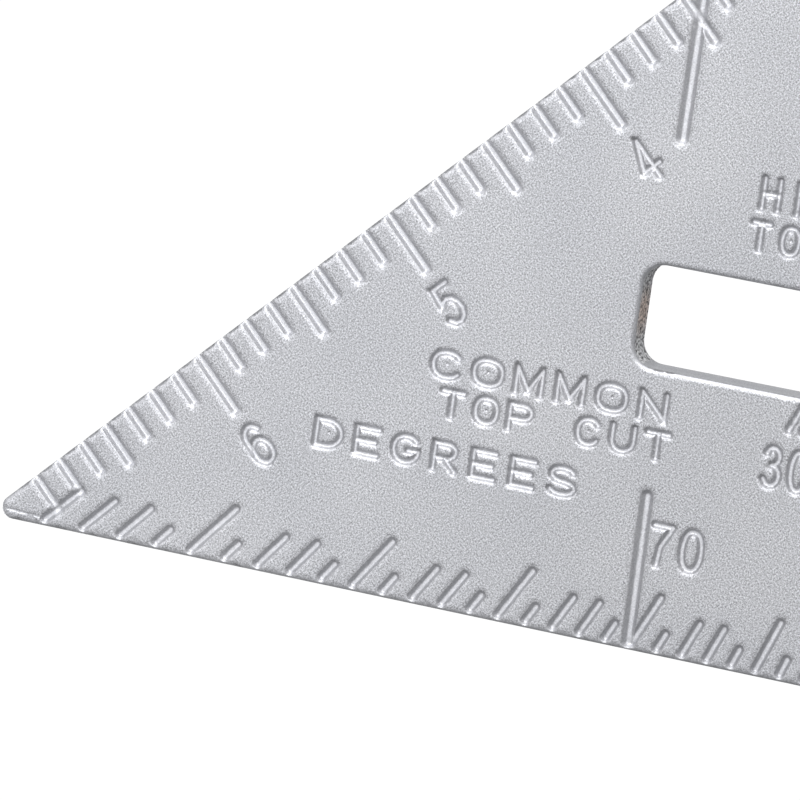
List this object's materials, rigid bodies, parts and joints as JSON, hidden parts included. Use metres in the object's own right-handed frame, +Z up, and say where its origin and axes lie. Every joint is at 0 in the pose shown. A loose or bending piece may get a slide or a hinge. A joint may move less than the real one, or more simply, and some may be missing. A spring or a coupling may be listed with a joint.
{
  "type": "speed square",
  "caption": "Flat right-triangle layout square, cast in aluminium, with a lipped fence, recessed graduations, a long slot and a notched window.",
  "frame": {"origin": "centre of the fence's underside, on the blade's middle plane", "axes": "+Z up the ruled edge from the fence to the sharp tip, +X along the fence from the heel to the pivot corner, marked face looks along -Y"},
  "size_m": [0.1816, 0.0222, 0.1863],
  "materials": {
    "cast_aluminium": "matte die-cast, fine grain, unpainted recessed marks"
  },
  "bodies": {
    "root": {"tip_web": "cast_aluminium", "ruled_arm": "cast_aluminium", "rafter_arm": "cast_aluminium", "degree_arm": "cast_aluminium", "heel_web": "cast_aluminium", "fence_spine": "cast_aluminium", "fence_lip_front": "cast_aluminium", "fence_lip_back": "cast_aluminium"}
  },
  "joints": []
}
